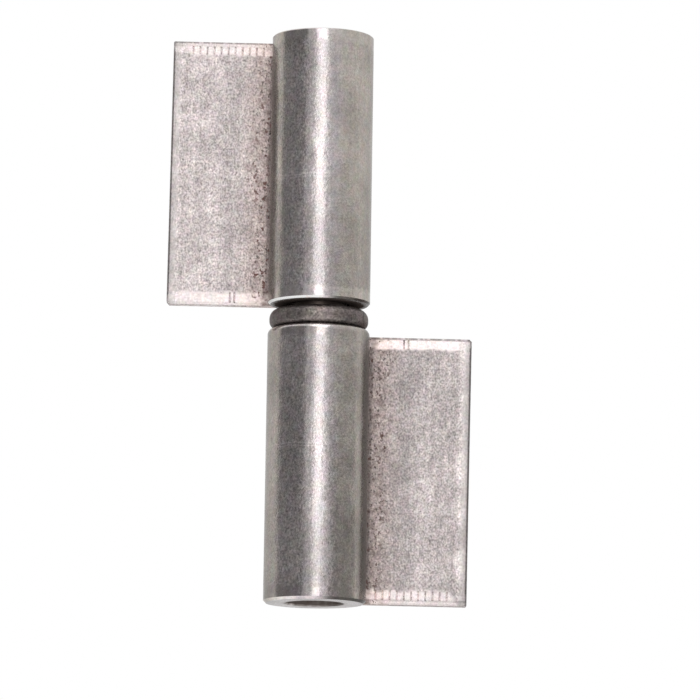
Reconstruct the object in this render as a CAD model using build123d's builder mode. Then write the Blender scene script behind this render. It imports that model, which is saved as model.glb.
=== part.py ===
# Lift-off weld-on barrel hinge: two barrels on one pin, each with a bevelled flag leaf.
# Frame: +Z up along the pin, +X towards the lower leaf's free edge, -Y is the front.
# The origin is on the pin's axis at the foot of the lower barrel. Lengths are in millimetres.
from build123d import *
from math import radians, sin, sqrt, tan
import os

os.makedirs("parts", exist_ok=True)

# Barrels
barrel_diameter = 20.0
lower_barrel_length = 54.0
upper_barrel_length = 53.5
foot_chamfer = 0.5             # bottom edge of the lower barrel
shoulder_round = 1.3           # top edge of the lower barrel, under the washer
mouth_chamfer = 0.4            # bottom edge of the upper barrel
top_edge_break = 0.2           # top edge of the upper barrel
bore_edge_break = 0.3          # every bore mouth
closed_top = 12.0              # solid steel above the tip of the blind bore
drill_point_angle = 118.0

# Pin
pin_diameter = 11.0
pin_running_clearance = 0.05   # radial, in the upper barrel
pin_foot_recess = 3.0          # the pin stops this far above the lower barrel's foot
pin_foot_chamfer = 0.5
pin_dome_radius = 8.0          # spherical upper end, which carries the upper half
pin_seat_clearance = 0.02      # between the dome and the drill point

# Thrust washer
washer_diameter = 19.4
washer_thickness = 3.8
washer_upper_round = 1.9
washer_lower_round = 1.4
washer_bore_clearance = 0.1    # radial, on the pin
washer_headroom = 1.0          # open gap between the washer and the upper barrel

# Leaves, two of one blank
leaf_reach = 30.0              # from the pin's axis to the free edge
leaf_height = 52.9
leaf_thickness = 3.5
leaf_skew = 0.5                # degrees that each leaf is welded on askew, clockwise from the front
outer_corner_clip = 0.2
inner_corner_clip = 0.5
leaf_root_tip = 1.0            # thickness left where the scribed root ends behind the barrel
upper_leaf_rise = 0.2          # outer end of the leaf above the upper barrel's top
lower_leaf_inset = 0.9         # outer end of the leaf above the lower barrel's foot

# Sheared ends of the leaf's front: a bevel down to a narrow land
bevel_drop = 0.8
outer_end_bevel = 1.8
outer_end_land = 0.9
inner_end_bevel = 2.0
inner_end_land = 0.4

# Rolled free side of the leaf's front: it falls away a little to a rounded edge
side_fall = 0.25
side_fall_width = 3.0
side_round = 0.5

# Tool marks pressed across the end bevels, placed from the free edge
mark_width = 0.36
mark_depth = 0.13
outer_mark_count = 11
outer_mark_start = 3.9
outer_mark_pitch = 1.4
inner_mark_count = 2
inner_mark_start = 12.5
inner_mark_pitch = 0.9

# Levels and radii that follow from the sizes above
barrel_radius = barrel_diameter / 2
pin_radius = pin_diameter / 2
running_bore_radius = pin_radius + pin_running_clearance
washer_seat = lower_barrel_length
mouth_level = washer_seat + washer_thickness + washer_headroom
hinge_top = mouth_level + upper_barrel_length

# The dome of the pin touches the cone of the drill point all round
half_point_angle = radians(drill_point_angle / 2)
drill_tip = hinge_top - closed_top
drill_shoulder = drill_tip - running_bore_radius / tan(half_point_angle)
dome_centre = drill_tip - (pin_dome_radius + pin_seat_clearance) / sin(half_point_angle)
dome_rim = dome_centre + sqrt(pin_dome_radius**2 - pin_radius**2)
dome_top = dome_centre + pin_dome_radius

# The back of each leaf is tangent to the back of its barrel
leaf_back = barrel_radius
leaf_front = leaf_back - leaf_thickness
leaf_root = sqrt(barrel_radius**2 - (barrel_radius - leaf_root_tip) ** 2)
leaf_half = leaf_height / 2
upper_leaf_level = hinge_top + upper_leaf_rise - leaf_half
lower_leaf_level = lower_leaf_inset + leaf_half
outer_slope = Vector(0, bevel_drop, outer_end_bevel)
inner_slope = Vector(0, bevel_drop, -inner_end_bevel)


# Lower barrel: a length of bar, bored right through for the pin
with BuildPart() as lower_barrel:
    with BuildSketch(Plane.XY):
        Circle(barrel_radius)
        Circle(pin_radius, mode=Mode.SUBTRACT)
    extrude(amount=lower_barrel_length)
    foot_edges = lower_barrel.edges().group_by(Axis.Z)[0].sort_by(SortBy.LENGTH)
    shoulder_edges = lower_barrel.edges().group_by(Axis.Z)[-1].sort_by(SortBy.LENGTH)
    chamfer(foot_edges[-1], length=foot_chamfer)
    fillet(shoulder_edges[-1], radius=shoulder_round)
    chamfer([foot_edges[0], shoulder_edges[0]], length=bore_edge_break)

# Hinge pin: pressed into the lower barrel, with a domed upper end
with BuildPart() as hinge_pin:
    with BuildSketch(Plane.XZ):
        with BuildLine():
            foot = Line((0, pin_foot_recess), (pin_radius - pin_foot_chamfer, pin_foot_recess))
            foot_bevel = Line(foot @ 1, (pin_radius, pin_foot_recess + pin_foot_chamfer))
            shank = Line(foot_bevel @ 1, (pin_radius, dome_rim))
            dome = RadiusArc(shank @ 1, (0, dome_top), -pin_dome_radius)
            Line(dome @ 1, foot @ 0)
        make_face()
    revolve(axis=Axis.Z)

# Thrust washer: a loose ring, its outer edge turned round, more above than below
with BuildPart() as thrust_washer:
    with BuildSketch(Plane.XY.offset(washer_seat)):
        Circle(washer_diameter / 2)
        Circle(pin_radius + washer_bore_clearance, mode=Mode.SUBTRACT)
    extrude(amount=washer_thickness)
    washer_foot = thrust_washer.edges().group_by(Axis.Z)[0].sort_by(SortBy.LENGTH)
    washer_crown = thrust_washer.edges().group_by(Axis.Z)[-1].sort_by(SortBy.LENGTH)
    fillet(washer_crown[-1], radius=washer_upper_round)
    fillet(washer_foot[-1], radius=washer_lower_round)
    chamfer([washer_crown[0], washer_foot[0]], length=bore_edge_break)

# Upper barrel: closed at the top, with a drilled blind bore that runs on the pin
with BuildPart() as upper_barrel:
    with BuildSketch(Plane.XY.offset(mouth_level)):
        Circle(barrel_radius)
    extrude(amount=upper_barrel_length)
    chamfer(upper_barrel.edges().group_by(Axis.Z)[0], length=mouth_chamfer)
    chamfer(upper_barrel.edges().group_by(Axis.Z)[-1], length=top_edge_break)
    with BuildSketch(Plane.XZ):
        with BuildLine():
            Polyline(
                (0, mouth_level),
                (running_bore_radius + bore_edge_break, mouth_level),
                (running_bore_radius, mouth_level + bore_edge_break),
                (running_bore_radius, drill_shoulder),
                (0, drill_tip),
                close=True,
            )
        make_face()
    revolve(axis=Axis.Z, mode=Mode.SUBTRACT)


# Profiles of a row of marks, each a shallow V that is swept down the slope of a bevel
def mark_profiles(bevel_edge, slope, margins):
    half_width = mark_width / 2
    with BuildSketch(Plane(origin=bevel_edge, x_dir=(1, 0, 0), z_dir=slope)) as profiles:
        with Locations([(margin, 0) for margin in margins]):
            Polygon((-half_width, 0), (0, -mark_depth), (half_width, 0), (0, mark_depth), align=None)
    return profiles.sketch


# Leaf blank, square and level: it reaches to -X, its outer end is up and its front is -Y
with BuildPart() as leaf_blank:
    # Section across the leaf, from the free edge to the root behind the barrel
    with BuildSketch(Plane.XY.offset(-leaf_half)) as cross_section:
        with BuildLine():
            Polyline(
                (-leaf_root, leaf_back),
                (-leaf_reach, leaf_back),
                (-leaf_reach, leaf_front + side_fall),
                (-leaf_reach + side_fall_width, leaf_front),
                (-leaf_root, leaf_front),
                close=True,
            )
        make_face()
        free_corner = cross_section.vertices().group_by(Axis.X)[0].sort_by(Axis.Y)[0]
        fillet(free_corner, radius=side_round)
    extrude(amount=leaf_height)
    # Section down the leaf: a land and a bevel at the outer end, a wider bevel at the inner end
    with BuildSketch(Plane.YZ):
        with BuildLine():
            Polyline(
                (leaf_back, -leaf_half),
                (leaf_back, leaf_half),
                (leaf_front + bevel_drop, leaf_half),
                (leaf_front + bevel_drop, leaf_half - outer_end_land),
                (leaf_front, leaf_half - outer_end_land - outer_end_bevel),
                (leaf_front, -leaf_half + inner_end_land + inner_end_bevel),
                (leaf_front + bevel_drop, -leaf_half + inner_end_land),
                (leaf_front + bevel_drop, -leaf_half),
                close=True,
            )
        make_face()
    extrude(amount=-2 * leaf_reach, mode=Mode.INTERSECT)
    # Outline from the front, with its two free corners clipped, the inner one more
    with BuildSketch(Plane.XZ) as outline:
        with Locations((-leaf_reach / 2, 0)):
            Rectangle(leaf_reach, leaf_height)
        free_corners = outline.vertices().group_by(Axis.X)[0].sort_by(Axis.Y)
        chamfer(free_corners[0], length=inner_corner_clip)
        chamfer(free_corners[-1], length=outer_corner_clip)
    extrude(amount=-2 * leaf_back, mode=Mode.INTERSECT)
    outer_marks = mark_profiles(
        bevel_edge=(-leaf_reach, leaf_front, leaf_half - outer_end_land - outer_end_bevel),
        slope=outer_slope,
        margins=[outer_mark_start + outer_mark_pitch * i for i in range(outer_mark_count)],
    )
    extrude(outer_marks, amount=outer_slope.length, mode=Mode.SUBTRACT)
    inner_marks = mark_profiles(
        bevel_edge=(-leaf_reach, leaf_front, -leaf_half + inner_end_land + inner_end_bevel),
        slope=inner_slope,
        margins=[inner_mark_start + inner_mark_pitch * i for i in range(inner_mark_count)],
    )
    extrude(inner_marks, amount=inner_slope.length, mode=Mode.SUBTRACT)

# Upper leaf: the blank slightly askew, its root scribed to the barrel
with BuildPart() as upper_leaf:
    with Locations(Location((0, 0, upper_leaf_level), (0, leaf_skew, 0))):
        add(leaf_blank.part)
    with Locations((0, 0, upper_leaf_level)):
        Cylinder(barrel_radius, 2 * leaf_height, mode=Mode.SUBTRACT)

# Lower leaf: the same blank turned end for end, so its outer end is down
with BuildPart() as lower_leaf:
    with Locations(Location((0, 0, lower_leaf_level), (0, 180 + leaf_skew, 0))):
        add(leaf_blank.part)
    with Locations((0, 0, lower_leaf_level)):
        Cylinder(barrel_radius, 2 * leaf_height, mode=Mode.SUBTRACT)


lower_barrel.part.label = "lower_barrel"
lower_leaf.part.label = "lower_leaf"
hinge_pin.part.label = "hinge_pin"
thrust_washer.part.label = "thrust_washer"
upper_barrel.part.label = "upper_barrel"
upper_leaf.part.label = "upper_leaf"

for piece in (lower_barrel, lower_leaf, hinge_pin, thrust_washer, upper_barrel, upper_leaf):
    export_step(piece.part, f"parts/{piece.part.label}.step")
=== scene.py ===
from math import cos, pi, radians, sin

import bpy
from mathutils import Matrix, Quaternion, Vector

# Looks of a lift-off weld-on barrel hinge: drawn-steel barrels, mill-finished leaves, dark washer.
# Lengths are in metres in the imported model's frame: +Z runs along the pin and -Y is the front.
# Inside the materials they are in millimetres.

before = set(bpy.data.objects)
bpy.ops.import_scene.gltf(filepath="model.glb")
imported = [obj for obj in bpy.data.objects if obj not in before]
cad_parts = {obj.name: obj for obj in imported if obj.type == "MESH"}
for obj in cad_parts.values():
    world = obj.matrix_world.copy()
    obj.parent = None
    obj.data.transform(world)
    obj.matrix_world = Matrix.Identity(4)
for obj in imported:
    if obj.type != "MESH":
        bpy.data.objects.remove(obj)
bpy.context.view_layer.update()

# Camera, a little below the hinge's foot and looking up
CAMERA_TARGET = Vector((0.0062, 0, 0.050))
CAMERA_DISTANCE = 1.0
CAMERA_ELEVATION = radians(-8.6)
CAMERA_ROLL = 0.0152           # sideways lean of the picture's up, as a slope
CAMERA_LENS = 262.4            # millimetres
CAMERA_SENSOR = 36             # millimetres
CAMERA_NEAR = 0.01
CAMERA_FAR = 50

# Studio
FLOOR_LEVEL = -0.4
FLOOR_SIZE = 8.0
FLOOR_GREY = 0.85
FLOOR_LIFT = 0.2               # added where the camera, metal or glass sees the floor
SOFT_LEVEL = 0.6               # world light that falls on dull surfaces
CARD_FOOT = -0.14              # lower edge of both grey cards

# Barrels and pin, in millimetres
BARREL_RADIUS = 10.0
BORE_MOUTH_RADIUS = 6.0        # just outside the bore's broken edge
LOWER_FOOT = 0.0
LOWER_HEAD = 54.0
UPPER_FOOT = 58.8
UPPER_HEAD = 112.3
TURNED_BAND = 2.5              # smoother end of each barrel, left by the lathe
BAND_BLUR = 0.3                # half width of the border between the band and the grained body
OUT_OF_ROUND = 0.035           # the bar is a little fuller towards the leaf, as a slope
SCRATCH_SPACING = 0.6
SCRATCH_HALF_WIDTH = 0.22
DARK_COLLAR_TOP = 61.0          # top of the pin's dark collar above the washer: oil, and painted shade in the gap

# Leaf blank, in millimetres: free edge at -X, outer end up
LEAF_REACH = 30.0
LEAF_HALF = 26.45
LEAF_FRONT = 6.5
LEAF_SKEW = 0.5                # degrees
LOWER_LEAF_LEVEL = 27.35       # height of the leaf's middle
UPPER_LEAF_LEVEL = 86.05
BEVEL_DROP = 0.8
OUTER_LAND = 0.9
OUTER_BEVEL = 1.8
INNER_LAND = 0.4
INNER_BEVEL = 2.0
OUTER_END = OUTER_LAND + OUTER_BEVEL
INNER_END = INNER_LAND + INNER_BEVEL

# Colours of what lies on the steel
# OIL_AND_SHADE is oil's colour, and serves as painted shade in the bores, the gap and the seam
OIL_AND_SHADE = (0.10, 0.08, 0.07, 1.0)
RUST = (0.14, 0.058, 0.048, 1.0)
DARK_RUST = (0.09, 0.042, 0.034, 1.0)

# Tints, by which a grey tone is multiplied
BAR_TINT = (1.095, 1.0, 0.995, 1.0)
# BAR_SIDE_TINT colours the sides of the bars: a painted reflection tint
BAR_SIDE_TINT = (1.1, 1.0, 0.915, 1.0)
PLATE_TINT = (1.115, 1.0, 0.985, 1.0)
PLATE_ROOT_TINT = (1.19, 1.0, 0.95, 1.0)
PLATE_RIM_TINT = (1.09, 1.0, 0.985, 1.0)
WASHER_TINT = (1.16, 1.0, 0.95, 1.0)
PIN_TINT = (1.05, 1.0, 0.95, 1.0)

# Grey tones that a whole piece or zone starts from
BEVEL_TONE = 0.485
WASHER_TONE = 0.145
PIN_TONE = 0.4


class Tree:
    """Short calls that build one node tree."""

    def __init__(self, tree):
        self.tree = tree
        self.tree.nodes.clear()

    def node(self, kind, **settings):
        made = self.tree.nodes.new(kind)
        for name, value in settings.items():
            setattr(made, name, value)
        return made

    def feed(self, socket, value):
        if isinstance(value, bpy.types.NodeSocket):
            self.tree.links.new(value, socket)
        else:
            socket.default_value = value

    def end(self, shader, kind="ShaderNodeOutputMaterial"):
        """Closes the tree with that shader."""
        output = self.node(kind)
        self.feed(output.inputs["Surface"], shader.outputs[0])

    def math(self, operation, *values, clamp=False):
        made = self.node("ShaderNodeMath", operation=operation, use_clamp=clamp)
        for socket, value in zip(made.inputs, values):
            self.feed(socket, value)
        return made.outputs[0]

    def chain(self, operation, values):
        result = values[0]
        for value in values[1:]:
            result = self.math(operation, result, value)
        return result

    def total(self, *values):
        return self.chain("ADD", values)

    def product(self, *values):
        return self.chain("MULTIPLY", values)

    def largest(self, *values):
        return self.chain("MAXIMUM", values)

    def without(self, value):
        """1 less the value."""
        return self.math("SUBTRACT", 1, value)

    def shifted(self, value, noise, share):
        """The value plus a share of the noise."""
        return self.math("MULTIPLY_ADD", noise, share, value)

    def swing(self, noise, share):
        """1 plus a share of the noise, to multiply a tone by."""
        return self.shifted(1, noise, share)

    def absolute(self, value):
        return self.math("ABSOLUTE", value)

    def mix(self, factor, first, second, blend="MIX"):
        made = self.node("ShaderNodeMix", data_type="RGBA", blend_type=blend)
        self.feed(made.inputs["Factor"], factor)
        self.feed(made.inputs[6], first)
        self.feed(made.inputs[7], second)
        return made.outputs[2]

    def tinted(self, tone, tint):
        return self.mix(1.0, tone, tint, "MULTIPLY")

    def between(self, factor, first, second):
        """A number that goes from first to second as factor goes from 0 to 1."""
        made = self.node("ShaderNodeMix", data_type="FLOAT")
        self.feed(made.inputs["Factor"], factor)
        self.feed(made.inputs[2], first)
        self.feed(made.inputs[3], second)
        return made.outputs[0]

    def step(self, value, low, high):
        """Smooth step from 0 at low to 1 at high. It falls instead where low is the larger."""
        made = self.node("ShaderNodeMapRange", interpolation_type="SMOOTHSTEP")
        self.feed(made.inputs["Value"], value)
        self.feed(made.inputs["From Min"], low)
        self.feed(made.inputs["From Max"], high)
        return made.outputs["Result"]

    def bell(self, value, centre, half_width):
        """1 at the centre, falling smoothly to 0 at half_width on both sides."""
        away = self.absolute(self.math("SUBTRACT", value, centre))
        return self.step(away, half_width, 0.0)

    def texture(self, place, scales, detail):
        """A noise texture with those numbers of cells to the millimetre along X, Y and Z."""
        mapping = self.node("ShaderNodeMapping")
        self.feed(mapping.inputs["Vector"], place)
        mapping.inputs["Scale"].default_value = scales
        made = self.node("ShaderNodeTexNoise")
        self.feed(made.inputs["Vector"], mapping.outputs[0])
        made.inputs["Scale"].default_value = 1
        made.inputs["Detail"].default_value = detail
        return made

    def noise(self, place, scale, stretch=(1, 1, 1), detail=1.0):
        """Noise about 0 within -1 to 1, with scale cells to the millimetre."""
        made = self.texture(place, [scale * s for s in stretch], detail)
        return self.math("MULTIPLY_ADD", made.outputs[0], 2, -1)

    def mottled(self, place, scale, amount, colour):
        """The colour with its hue drifting from place to place."""
        made = self.texture(place, (scale, scale, scale), 3)
        doubled = self.tinted(made.outputs[1], grey(2.0))
        drift = self.mix(amount * 2, grey(1.0), doubled)
        return self.tinted(drift, colour)

    def place(self):
        """Millimetres in the object's own frame, with its surface normal."""
        coordinates = self.node("ShaderNodeTexCoord")
        scaled = self.node("ShaderNodeVectorMath", operation="SCALE")
        self.feed(scaled.inputs[0], coordinates.outputs["Object"])
        scaled.inputs["Scale"].default_value = 1000
        return scaled.outputs[0], coordinates.outputs["Normal"]

    def split(self, vector):
        made = self.node("ShaderNodeSeparateXYZ")
        self.feed(made.inputs[0], vector)
        return made.outputs

    def seen(self):
        """1 where the camera, metal or glass looks, and 0 for light that falls on dull surfaces."""
        path = self.node("ShaderNodeLightPath")
        rays = self.math("ADD", path.outputs["Is Camera Ray"], path.outputs["Is Glossy Ray"])
        return self.math("ADD", rays, path.outputs["Is Transmission Ray"], clamp=True)


def grey(level):
    return (level, level, level, 1.0)


def new_material(name):
    material = bpy.data.materials.new(name)
    material.use_nodes = True
    return material, Tree(material.node_tree)


# Camera and studio


def place_camera():
    back = Vector((0, -cos(CAMERA_ELEVATION), sin(CAMERA_ELEVATION)))
    right = Vector((1, 0, 0))
    up = (back.cross(right) - CAMERA_ROLL * right).normalized()
    right = up.cross(back)
    data = bpy.data.cameras.new("camera")
    data.sensor_width = CAMERA_SENSOR
    data.lens = CAMERA_LENS
    data.clip_start = CAMERA_NEAR
    data.clip_end = CAMERA_FAR
    camera = bpy.data.objects.new("camera", data)
    camera.matrix_world = Matrix((right, up, back)).transposed().to_4x4()
    camera.location = CAMERA_TARGET + back * CAMERA_DISTANCE
    bpy.context.scene.collection.objects.link(camera)
    bpy.context.scene.camera = camera


def light_world():
    """White for what the camera, metal and glass see, and a softer level for dull surfaces."""
    world = bpy.data.worlds.new("studio")
    bpy.context.scene.world = world
    world.use_nodes = True
    tree = Tree(world.node_tree)
    background = tree.node("ShaderNodeBackground")
    tree.feed(background.inputs["Color"], grey(1.0))
    tree.feed(background.inputs["Strength"], tree.between(tree.seen(), SOFT_LEVEL, 1.0))
    tree.end(background, "ShaderNodeOutputWorld")


def aim(obj, azimuth, elevation, distance, centre):
    """Sets obj that far out from the centre, with its +Z pointing away from it.

    Azimuth 0 is the front, and it grows to the right.
    """
    a = radians(azimuth)
    e = radians(elevation)
    outward = Vector((sin(a) * cos(e), -cos(a) * cos(e), sin(e)))
    obj.location = centre + outward * distance
    obj.rotation_mode = "QUATERNION"
    obj.rotation_quaternion = outward.to_track_quat("Z", "Y")


def softbox(name, azimuth, elevation, distance, width, height, radiance, lean=0.0):
    """A rectangular lamp that shows in the metal with that radiance, where 1 is white.

    It leans that many degrees to the right.
    """
    data = bpy.data.lights.new(name, "AREA")
    data.shape = "RECTANGLE"
    data.size = width
    data.size_y = height
    data.energy = radiance * pi * width * height
    lamp = bpy.data.objects.new(name, data)
    lamp.visible_camera = False
    bpy.context.scene.collection.objects.link(lamp)
    aim(lamp, azimuth, elevation, distance, CAMERA_TARGET)
    lamp.rotation_quaternion = lamp.rotation_quaternion @ Quaternion((0, 0, 1), radians(-lean))


def card(name, azimuth, distance, width, top, level):
    """An upright grey card that only the metal sees."""
    bpy.ops.mesh.primitive_plane_add(size=1)
    board = bpy.context.object
    board.name = name
    middle = Vector((CAMERA_TARGET.x, CAMERA_TARGET.y, (CARD_FOOT + top) / 2))
    aim(board, azimuth, 0, distance, middle)
    board.scale = (width, top - CARD_FOOT, 1)
    board.visible_camera = False
    board.visible_diffuse = False
    board.visible_shadow = False
    material, tree = new_material(name)
    glow = tree.node("ShaderNodeEmission")
    tree.feed(glow.inputs["Color"], grey(level))
    tree.end(glow)
    board.data.materials.append(material)


def lay_floor():
    """A plain pale floor that looks a little brighter than the light on it makes it."""
    bpy.ops.mesh.primitive_plane_add(size=FLOOR_SIZE, location=(0, 0, FLOOR_LEVEL))
    floor = bpy.context.object
    floor.name = "floor"
    material, tree = new_material("floor")
    paint = tree.node("ShaderNodeBsdfDiffuse")
    tree.feed(paint.inputs["Color"], grey(FLOOR_GREY))
    glow = tree.node("ShaderNodeEmission")
    tree.feed(glow.inputs["Color"], grey(1.0))
    tree.feed(glow.inputs["Strength"], tree.product(tree.seen(), FLOOR_LIFT))
    both = tree.node("ShaderNodeAddShader")
    tree.feed(both.inputs[0], paint.outputs[0])
    tree.feed(both.inputs[1], glow.outputs[0])
    tree.end(both)
    floor.data.materials.append(material)


def finish_metal(tree, colour, metallic, roughness, relief, gloss=0.5):
    """Closes a material. The relief is a height in millimetres."""
    bump = tree.node("ShaderNodeBump")
    bump.inputs["Distance"].default_value = 0.001
    tree.feed(bump.inputs["Height"], relief)
    shader = tree.node("ShaderNodeBsdfPrincipled")
    tree.feed(shader.inputs["Base Color"], colour)
    tree.feed(shader.inputs["Metallic"], metallic)
    tree.feed(shader.inputs["Roughness"], roughness)
    tree.feed(shader.inputs["Normal"], bump.outputs[0])
    tree.feed(shader.inputs["Specular IOR Level"], gloss)
    shader.inputs["Specular Tint"].default_value = grey(0.75)
    tree.end(shader)


# Barrels


def turned_ends(tree, z, middle, broad, foot, head):
    """1 on the smoother bands at both ends of a barrel, with an uneven border."""
    border = tree.total(z, tree.product(middle, 0.9), tree.product(broad, 1.2))
    foot_band = foot + TURNED_BAND
    head_band = head - TURNED_BAND
    return tree.largest(
        tree.step(border, head_band - BAND_BLUR, head_band + BAND_BLUR),
        tree.step(border, foot_band + BAND_BLUR, foot_band - BAND_BLUR),
    )


def tool_rings(tree, radius):
    """Rings round the axis, as a tool leaves them on a flat face."""
    along_radius = tree.node("ShaderNodeCombineXYZ")
    tree.feed(along_radius.inputs["X"], radius)
    return tree.noise(along_radius.outputs[0], 3.0, detail=2)


def painted_edge_light_and_shade(tree, x, foot_end):
    """How much brighter the worn edges are: a painted highlight most on the left of the foot, and
    painted shade on its right.
    """
    on_left = tree.between(foot_end, 0.7, 1.8)
    on_right = tree.between(foot_end, 0.2, -0.7)
    return tree.between(tree.step(x, -1.0, 4.0), on_left, on_right)


def ring_scratches(tree, x, z, middle, broad, level, side):
    """Two faint scratches round the bar, broken along their way and strongest at that side."""
    wavy = tree.shifted(z, broad, 0.5)
    pair = tree.largest(
        tree.bell(wavy, level, SCRATCH_HALF_WIDTH),
        tree.bell(wavy, level - SCRATCH_SPACING, SCRATCH_HALF_WIDTH),
    )
    near_side = tree.step(tree.bell(x, side, 7.0), 0.0, 0.5)
    unbroken = tree.step(middle, -0.6, 0.0)
    return tree.product(pair, near_side, unbroken)


def dimmed_front(tree, x, z, foot, head, dim_foot, dim_head):
    """Painted shade dimming the bar towards each end, in the middle and on the right of its front.
    """
    foot_start, foot_full, foot_depth = dim_foot
    head_start, head_full, head_depth = dim_head
    either_end = tree.largest(
        tree.product(tree.step(z, foot + foot_start, foot + foot_full), foot_depth),
        tree.product(tree.step(z, head - head_start, head - head_full), head_depth),
    )
    off_left = tree.step(x, -4.5, -2.5)
    less_on_right = tree.between(tree.step(x, 2.0, 5.0), 1.0, 0.75)
    return tree.product(either_end, off_left, less_on_right)


def drawn_steel(
    name,
    foot,
    head,
    leaf_side,
    body_tone,
    turned_tone,
    dim_foot,
    dim_head,
    polish,
    leaf_side_shade,
    scratch,
    face_light_and_shade,
    dark_face_radius,
    seam_shade,
    far_side_shade,
):
    """Bar steel from its foot to its head: grained body, turned ends, painted shade towards the
    leaf.

    leaf_side is 1 where the leaf reaches to +X and -1 where it reaches to -X.
    dim_foot and dim_head say where the painted shade on the front starts and where it is darkest,
    both counted from that end, and by how much.
    polish is the level and the half length of the stretch that handling has polished.
    leaf_side_shade is where painted shade starts towards the leaf, and how dark it is at the
    barrel's edge.
    scratch is the level of the ring scratches and where across the front they are strongest.
    face_light_and_shade is how much brighter the flat face at its foot is painted, as painted
    light, or darker as painted shade where it is negative.
    dark_face_radius is how far from the axis the oil colour spreads on that face: oil and painted
    shade.
    seam_shade is how much painted shade, in the oil colour, lies along the seam with the leaf.
    far_side_shade is how much darker the side away from the leaf is painted: painted shade.
    """
    material, tree = new_material(name)
    place, normal = tree.place()
    x, y, z = tree.split(place)
    towards_leaf = tree.product(x, leaf_side)
    radius = tree.math("SQRT", tree.total(tree.product(x, x), tree.product(y, y)))

    fine = tree.noise(place, 2.7, (1, 1, 0.85))
    frosting = tree.noise(place, 2.9, (1, 1, 0.8))
    middle = tree.noise(place, 0.95, (1, 1, 0.6))
    broad = tree.noise(place, 0.16, (1, 1, 0.7), detail=2)
    streaks = tree.noise(place, 1.7, (1, 1, 0.04), detail=2)
    stains = tree.step(tree.noise(place, 0.75, (1, 1, 0.8), detail=3), 0.3, 0.55)

    # Zones: turned ends and grained body, flat faces with tool rings, chamfered edges
    turned = turned_ends(tree, z, middle, broad, foot, head)
    grained = tree.without(turned)
    upright = tree.absolute(tree.split(normal)[2])
    flat = tree.step(upright, 0.85, 0.95)
    curved = tree.without(flat)
    edge = tree.math("SUBTRACT", tree.step(upright, 0.2, 0.5), flat)
    rings = tree.product(tool_rings(tree, radius), flat)
    foot_end = tree.step(z, foot + 4.0, foot + 3.0)
    below_head = tree.step(z, head - 1.0, head - 2.0)
    scuffed = tree.bell(x, -5.0, 4.5)
    # painted shade: a band left of the front's middle, over the highlight's left flank
    shaded = tree.bell(x, -2.4, 2.2)

    # Wear, and painted shade: darker towards the leaf, on the far side and on the front by the ends
    scratch_level, scratch_side = scratch
    scratches = ring_scratches(tree, x, z, middle, broad, scratch_level, scratch_side)
    # painted shade that dims the front towards each end
    dull = tree.product(dimmed_front(tree, x, z, foot, head, dim_foot, dim_head), grained)
    polish_level, polish_half_length = polish
    polished = tree.product(tree.bell(z, polish_level, polish_half_length), grained)
    leaf_shade_start, leaf_shade_depth = leaf_side_shade
    # painted shade on the bar's side towards the leaf, darkest at the barrel's edge
    darkening = tree.product(tree.step(towards_leaf, leaf_shade_start, BARREL_RADIUS), leaf_shade_depth)
    # painted shade on the side away from the leaf
    far_side_shading = tree.product(tree.step(towards_leaf, -6.5, -9.3), far_side_shade)

    body_grain = tree.shifted(0.38, scuffed, 0.5)
    tone = tree.product(
        tree.between(turned, body_tone, turned_tone),
        tree.swing(fine, tree.between(turned, body_grain, 0.3)),
        tree.swing(middle, 0.16),
        tree.swing(broad, 0.35),
        tree.swing(streaks, 0.12),
        tree.swing(rings, 0.4),
        # painted light on the foot's flat face, or painted shade where negative
        tree.swing(tree.product(flat, foot_end), face_light_and_shade),
        # worn chamfers, with a painted highlight on the left and painted shade on the foot's right
        tree.swing(edge, painted_edge_light_and_shade(tree, x, foot_end)),
        tree.swing(shaded, -0.1),
        tree.swing(scratches, 0.2),
        tree.swing(stains, -0.18),
        tree.without(darkening),
        tree.without(dull),
        tree.without(far_side_shading),
    )
    # painted reflection tint: the sides of the front take the yellower BAR_SIDE_TINT
    sides = tree.product(tree.largest(tree.step(x, 2.5, 5.0), tree.step(x, -6.5, -8.0)), curved)
    tint = tree.mottled(place, 0.6, 0.06, tree.mix(sides, BAR_TINT, BAR_SIDE_TINT))

    # Oil in the bore and on the face round it, partly painted shade there,
    # and painted shade along the seam
    uneven_radius = tree.shifted(radius, middle, 0.5)
    dark_face = tree.step(uneven_radius, dark_face_radius + 0.8, dark_face_radius - 0.8)
    in_bore = tree.step(radius, BORE_MOUTH_RADIUS + 0.2, BORE_MOUTH_RADIUS)
    dark_end = tree.product(dark_face, tree.largest(flat, in_bore), below_head)
    # painted shade along the seam with the leaf, in the oil colour
    seam_shading = tree.product(tree.step(towards_leaf, 8.8, 9.8), curved, seam_shade)
    oil_and_shade = tree.largest(dark_end, seam_shading)
    clear_steel = tree.without(oil_and_shade)
    colour = tree.mix(oil_and_shade, tree.tinted(tone, tint), OIL_AND_SHADE)

    roughness = tree.total(
        tree.between(turned, 0.28, 0.2),
        tree.product(polished, -0.055),
        tree.product(frosting, 0.19),
        tree.product(scratches, 0.07),
        tree.product(middle, 0.05),
        tree.product(oil_and_shade, 0.15),
    )
    relief = tree.total(
        tree.product(fine, tree.between(turned, 0.012, 0.004)),
        tree.product(middle, tree.between(turned, 0.014, 0.008)),
        tree.product(broad, 0.08),
        tree.product(streaks, 0.004),
        tree.product(rings, 0.01),
        tree.product(towards_leaf, OUT_OF_ROUND),
    )
    finish_metal(tree, colour, clear_steel, roughness, relief, gloss=tree.product(clear_steel, 0.5))
    return material


# Leaves


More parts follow.
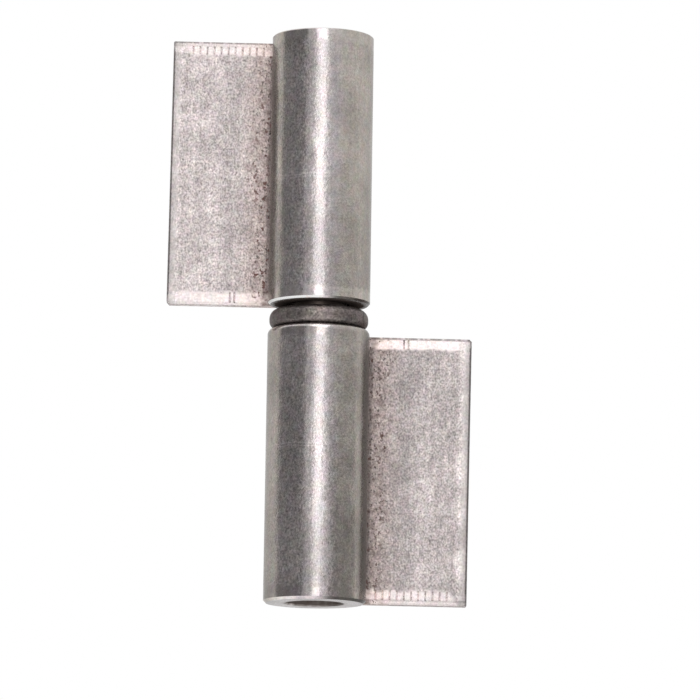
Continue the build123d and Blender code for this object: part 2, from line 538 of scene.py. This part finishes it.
class LeafPlace:
    """Where a point lies on the leaf blank: its depth, and its distance from the blank's sides."""

    def __init__(self, tree, place, level, turn):
        blank = tree.node("ShaderNodeMapping", vector_type="TEXTURE")
        tree.feed(blank.inputs["Vector"], place)
        blank.inputs["Location"].default_value = (0, 0, level)
        blank.inputs["Rotation"].default_value = (0, radians(turn), 0)
        across, depth, along = tree.split(blank.outputs[0])
        self.depth = depth
        self.from_edge = tree.math("ADD", across, LEAF_REACH)
        self.from_outer = tree.math("SUBTRACT", LEAF_HALF, along)
        self.from_inner = tree.math("ADD", along, LEAF_HALF)


def burnished_bevels(tree, leaf, fine, middle, front):
    """1 on the bevels and lands at both ends, but for the corners by the free edge."""

    def ragged(distance):
        return tree.total(distance, tree.product(middle, 0.8), tree.product(fine, 0.4))

    outer_bevel = tree.product(
        tree.step(ragged(leaf.from_outer), OUTER_END + 0.35, OUTER_END - 0.35),
        tree.step(tree.shifted(leaf.from_edge, leaf.from_outer, -0.73), 0.8, 2.2),
    )
    inner_bevel = tree.product(
        tree.step(ragged(leaf.from_inner), INNER_END + 0.3, INNER_END - 0.3),
        tree.step(leaf.from_edge, 0.8, 3.2),
    )
    return tree.product(tree.largest(outer_bevel, inner_bevel), front)


def darker_lands_and_creases(tree, leaf, front, darkening):
    """What is left of the tone on the darker outer land, and on the lines below both lands, where
    painted shade lies in the creases.
    """
    land = tree.step(leaf.from_outer, OUTER_LAND + 0.05, OUTER_LAND - 0.2)
    line = tree.largest(
        tree.bell(leaf.from_outer, OUTER_LAND - 0.05, 0.35),
        tree.bell(leaf.from_inner, INNER_LAND, 0.2),
    )
    return tree.product(
        tree.without(tree.product(land, front, darkening, 0.5)),
        tree.without(tree.product(line, front, darkening)),
    )


def pressed_marks(tree, leaf, fine, front):
    """1 in the marks that are pressed below each bevel's slope and rubbed bright."""
    outer_slope = tree.product(
        tree.math("SUBTRACT", OUTER_END, leaf.from_outer), BEVEL_DROP / OUTER_BEVEL
    )
    inner_slope = tree.product(
        tree.math("SUBTRACT", INNER_END, leaf.from_inner), BEVEL_DROP / INNER_BEVEL
    )
    slope = tree.largest(outer_slope, inner_slope, 0)
    below = tree.math("SUBTRACT", leaf.depth, tree.math("ADD", slope, LEAF_FRONT))
    return tree.product(
        tree.step(below, 0.0, 0.06),
        tree.step(leaf.from_outer, OUTER_LAND, OUTER_LAND + 0.05),
        tree.step(leaf.from_inner, INNER_LAND, INNER_LAND + 0.05),
        tree.step(slope, 0, 0.03),
        front,
        tree.step(fine, -0.7, 0.2),
        tree.step(leaf.from_edge, 3.2, 3.4),
    )


def dark_outline(tree, leaf, middle, front, on_side, on_outer, on_inner):
    """A broken dark line of painted shade round the leaf's front edges, with its own strength on
    each side.
    """
    line = tree.largest(
        tree.product(tree.step(leaf.from_edge, 0.5, 0.15), on_side),
        tree.product(tree.step(leaf.from_outer, 0.5, 0.15), on_outer),
        tree.product(tree.step(leaf.from_inner, 0.5, 0.2), on_inner),
    )
    return tree.product(line, tree.step(middle, -0.6, 0.1), front)


def pale_bands(tree, leaf, broad, front, shine):
    """How much brighter the leaf is: a painted sheen along its free edge, paler further in, and a
    little between.
    """
    edge_band = tree.bell(leaf.from_edge, 1.6, 1.6)
    inward_band = tree.product(tree.bell(leaf.from_edge, 8.6, 3.4), 0.28)
    bands = tree.product(tree.largest(edge_band, inward_band), tree.swing(broad, 0.7), front)
    between_bands = tree.product(tree.bell(leaf.from_edge, 4.3, 2.6), front)
    return tree.product(tree.swing(bands, shine), tree.swing(between_bands, 0.11))


def root_shade(tree, leaf, front):
    """Painted shade: how much darker the leaf is towards its root, with a painted contact shadow as
    a dark line along the barrel.
    """
    return tree.total(
        tree.product(tree.step(leaf.from_edge, 9.5, 12.5), 0.07),
        tree.product(tree.step(leaf.from_edge, 14.5, 19.0), 0.03),
        tree.product(tree.step(leaf.from_edge, 19.1, 19.6), front, 0.34),
    )


def rust_specks(tree, place, leaf, broad, speck_level):
    """Clusters of small specks by the root."""
    by_root = tree.step(tree.shifted(leaf.from_edge, broad, 3.0), 15.5, 18.0)
    speckle = tree.noise(place, 1.6, (1, 1, 0.85), detail=2)
    clusters = tree.step(tree.noise(place, 0.4, (1, 1, 0.6), detail=2), -0.35, 0.15)
    return tree.product(tree.step(speckle, speck_level, speck_level + 0.2), by_root, clusters)


def plate_steel(
    name,
    tone,
    level,
    turn,
    rust_colour,
    speck_level,
    side_shine,
    land_darkening,
    side_outline,
    outer_outline,
    inner_outline,
):
    """Mill-finished leaf with burnished end bevels, rust and painted shade towards the root, and a
    dark line of painted shade round its front edges.

    level is the height of the leaf's middle, and turn its angle about Y from the blank, in degrees.
    speck_level is the noise level above which rust specks show, so a lower one gives more of them.
    side_shine is how much brighter the bands along the free edge are, as painted sheen.
    land_darkening is how dark the lands and the painted shade in their creases are, and the
    outlines how strong the dark line of painted shade is on each side.
    """
    material, tree = new_material(name)
    place, normal = tree.place()
    leaf = LeafPlace(tree, place, level, turn)

    fine = tree.noise(place, 2.75, (1, 1, 0.85))
    middle = tree.noise(place, 1.15, (1, 1, 0.75))
    broad = tree.noise(place, 0.17, detail=2)
    streaks = tree.noise(place, 1.3, (1, 1, 0.07), detail=2)
    pits = tree.step(tree.noise(place, 2.1, (1, 1, 0.8)), 0.22, 0.4)
    flecks = tree.step(tree.noise(place, 0.8, (1, 1, 0.4), detail=3), 0.28, 0.5)

    # Zones: front, walls, burnished ends, rim by the free edge and stretch by the root
    normal_x, normal_y, normal_z = tree.split(normal)
    front = tree.step(normal_y, -0.6, -0.8)
    side_wall = tree.step(tree.absolute(normal_x), 0.6, 0.8)
    end_wall = tree.step(tree.absolute(normal_z), 0.6, 0.8)
    burnished = burnished_bevels(tree, leaf, fine, middle, front)
    rim = tree.product(tree.step(leaf.from_edge, 1.9, 1.2), front)
    near_root = tree.step(tree.shifted(leaf.from_edge, broad, 4.0), 14.5, 18.5)

    # Rust, as specks over a fainter haze
    specks = rust_specks(tree, place, leaf, broad, speck_level)
    haze = tree.product(tree.step(tree.noise(place, 0.6, detail=3), -0.1, 0.4), near_root, 0.35)
    rust = tree.product(tree.largest(specks, haze), front)

    grain = tree.between(burnished, tree.between(near_root, 0.92, 0.85), 0.3)
    grain = tree.between(rim, grain, 0.35)
    mill_tone = tree.product(
        tone,
        tree.swing(fine, grain),
        tree.swing(middle, tree.product(grain, 0.5)),
        tree.swing(broad, 0.34),
        tree.swing(streaks, 0.16),
        tree.swing(flecks, 0.22),
        tree.swing(tree.product(pits, tree.between(near_root, 0.4, 1.25)), -0.5),
        tree.without(root_shade(tree, leaf, front)),
        # painted sheen along the free edge
        pale_bands(tree, leaf, broad, front, side_shine),
        tree.without(tree.product(side_wall, 0.25)),
        tree.swing(end_wall, 1.0),
    )
    bevel_tone = tree.product(
        BEVEL_TONE,
        tree.swing(fine, 0.35),
        tree.swing(middle, 0.3),
        tree.swing(broad, 0.15),
        # painted shade on the bevels by the root, next to the barrel
        tree.without(tree.product(tree.step(leaf.from_edge, 18.0, 20.2), 0.45)),
    )
    # dark line of painted shade round the front's edges
    outline = dark_outline(tree, leaf, middle, front, side_outline, outer_outline, inner_outline)
    face_light_and_shade = tree.product(
        tree.between(burnished, mill_tone, bevel_tone),
        # darker lands, and painted shade in the creases below them
        darker_lands_and_creases(tree, leaf, front, land_darkening),
        tree.swing(pressed_marks(tree, leaf, fine, front), 0.8),
        tree.without(tree.product(outline, 0.7)),
    )
    redness = tree.mix(tree.step(leaf.from_edge, 12.0, 19.0), PLATE_TINT, PLATE_ROOT_TINT)
    redness = tree.mix(rim, redness, PLATE_RIM_TINT)
    bare = tree.tinted(face_light_and_shade, tree.mottled(place, 0.9, 0.045, redness))
    colour = tree.mix(tree.product(rust, 0.88), bare, rust_colour)
    metallic = tree.without(tree.product(rust, 0.8))
    roughness = tree.total(
        tree.between(burnished, 0.5, 0.42),
        tree.product(middle, 0.08),
        tree.product(rust, 0.2),
    )
    relief = tree.total(
        tree.product(fine, tree.between(burnished, 0.014, 0.003)),
        tree.product(middle, tree.between(burnished, 0.014, 0.004)),
        tree.product(streaks, 0.004),
        tree.product(specks, -0.02),
    )
    finish_metal(tree, colour, metallic, roughness, relief)
    return material


# Washer and pin


def washer_steel(name):
    """Dark, dull steel with a fine rough skin and one hairline scratch on its right."""
    material, tree = new_material(name)
    place = tree.place()[0]
    x = tree.split(place)[0]
    fine = tree.noise(place, 2.4, detail=2)
    middle = tree.noise(place, 0.9, (1, 1, 1.6), detail=2)
    broad = tree.noise(place, 0.2)
    sparkle = tree.step(tree.noise(place, 1.3, detail=2), 0.32, 0.5)
    hairline = tree.bell(x, 8.75, 0.12)
    tone = tree.product(
        WASHER_TONE,
        tree.swing(fine, 0.9),
        tree.swing(middle, 0.5),
        tree.swing(broad, 0.3),
        tree.swing(sparkle, 0.6),
        tree.swing(hairline, -0.6),
        tree.swing(tree.step(x, 2.0, 7.0), -0.15),
    )
    colour = tree.tinted(tone, tree.mottled(place, 0.5, 0.06, WASHER_TINT))
    roughness = tree.shifted(0.46, middle, 0.12)
    relief = tree.total(tree.product(fine, 0.03), tree.product(middle, 0.06))
    finish_metal(tree, colour, 1.0, roughness, relief)
    return material


def pin_steel(name, collar_bottom, collar_top):
    """Turned pin with rings round it, darkened in the oil colour between two levels and at its
    foot:
    oil, and painted shade where the pin shows in the gap above the washer and in the bore.
    """
    material, tree = new_material(name)
    place = tree.place()[0]
    z = tree.split(place)[2]
    rings = tree.noise(place, 1.0, (0.15, 0.15, 5.0), detail=2)
    fine = tree.noise(place, 2.5)
    border = tree.shifted(z, tree.noise(place, 0.5), 1.5)
    collar = tree.product(
        tree.step(border, collar_bottom - 0.8, collar_bottom),
        tree.step(border, collar_top + 0.8, collar_top),
    )
    oil_and_shade = tree.largest(collar, tree.step(z, 6.0, 4.0))
    tone = tree.product(PIN_TONE, tree.swing(rings, 0.2), tree.swing(fine, 0.15))
    colour = tree.mix(oil_and_shade, tree.tinted(tone, PIN_TINT), OIL_AND_SHADE)
    roughness = tree.shifted(0.3, rings, 0.08)
    finish_metal(tree, colour, 1.0, roughness, tree.product(rings, 0.003))
    return material


def dress(node, material):
    """Gives a CAD node its material."""
    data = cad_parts[node].data
    data.materials.clear()
    data.materials.append(material)


place_camera()
light_world()
lay_floor()
softbox("front_strip", 3.0, 20.5, distance=0.72, width=0.26, height=0.74, radiance=2.15, lean=12)
softbox("top_strip", 0, 57, distance=0.7, width=0.4, height=0.5, radiance=1.5)
softbox("low_strip", 0, -37.7, distance=0.2, width=0.25, height=0.18, radiance=1.5)
card("left_card", -65, distance=0.5, width=0.65, top=0.7, level=0.33)
card("right_card", 60, distance=0.5, width=0.7, top=0.134, level=0.43)

dress(
    "lower_barrel",
    drawn_steel(
        "drawn_steel",
        foot=LOWER_FOOT,
        head=LOWER_HEAD,
        leaf_side=1,
        body_tone=0.348,
        turned_tone=0.31,
        dim_foot=(22.0, 11.0, 0.26),
        dim_head=(20.0, 12.0, 0.12),
        polish=(28.0, 16.0),
        leaf_side_shade=(7.6, 0.42),
        scratch=(30.3, -4.5),
        face_light_and_shade=1.0,
        dark_face_radius=6.0,
        seam_shade=0.5,
        far_side_shade=0.14,
    ),
)
dress(
    "upper_barrel",
    drawn_steel(
        "drawn_steel_upper",
        foot=UPPER_FOOT,
        head=UPPER_HEAD,
        leaf_side=-1,
        body_tone=0.35,
        turned_tone=0.39,
        dim_foot=(19.0, 10.0, 0.16),
        dim_head=(16.0, 5.0, 0.0),
        polish=(87.0, 14.0),
        leaf_side_shade=(9.4, 0.1),
        scratch=(83.4, -3.0),
        face_light_and_shade=-0.55,
        dark_face_radius=9.4,
        seam_shade=0.0,
        far_side_shade=0.0,
    ),
)
dress(
    "lower_leaf",
    plate_steel(
        "plate_steel",
        tone=0.276,
        level=LOWER_LEAF_LEVEL,
        turn=180 + LEAF_SKEW,
        rust_colour=DARK_RUST,
        speck_level=0.15,
        side_shine=0.62,
        land_darkening=0.32,
        side_outline=0.95,
        outer_outline=0.3,
        inner_outline=0.9,
    ),
)
dress(
    "upper_leaf",
    plate_steel(
        "plate_steel_upper",
        tone=0.362,
        level=UPPER_LEAF_LEVEL,
        turn=LEAF_SKEW,
        rust_colour=RUST,
        speck_level=0.14,
        side_shine=0.3,
        land_darkening=0.14,
        side_outline=0.7,
        outer_outline=0.85,
        inner_outline=0.2,
    ),
)
dress("thrust_washer", washer_steel("washer_steel"))
dress("hinge_pin", pin_steel("pin_steel", collar_bottom=LOWER_HEAD, collar_top=DARK_COLLAR_TOP))

view = bpy.context.scene.view_settings
view.view_transform = "Standard"
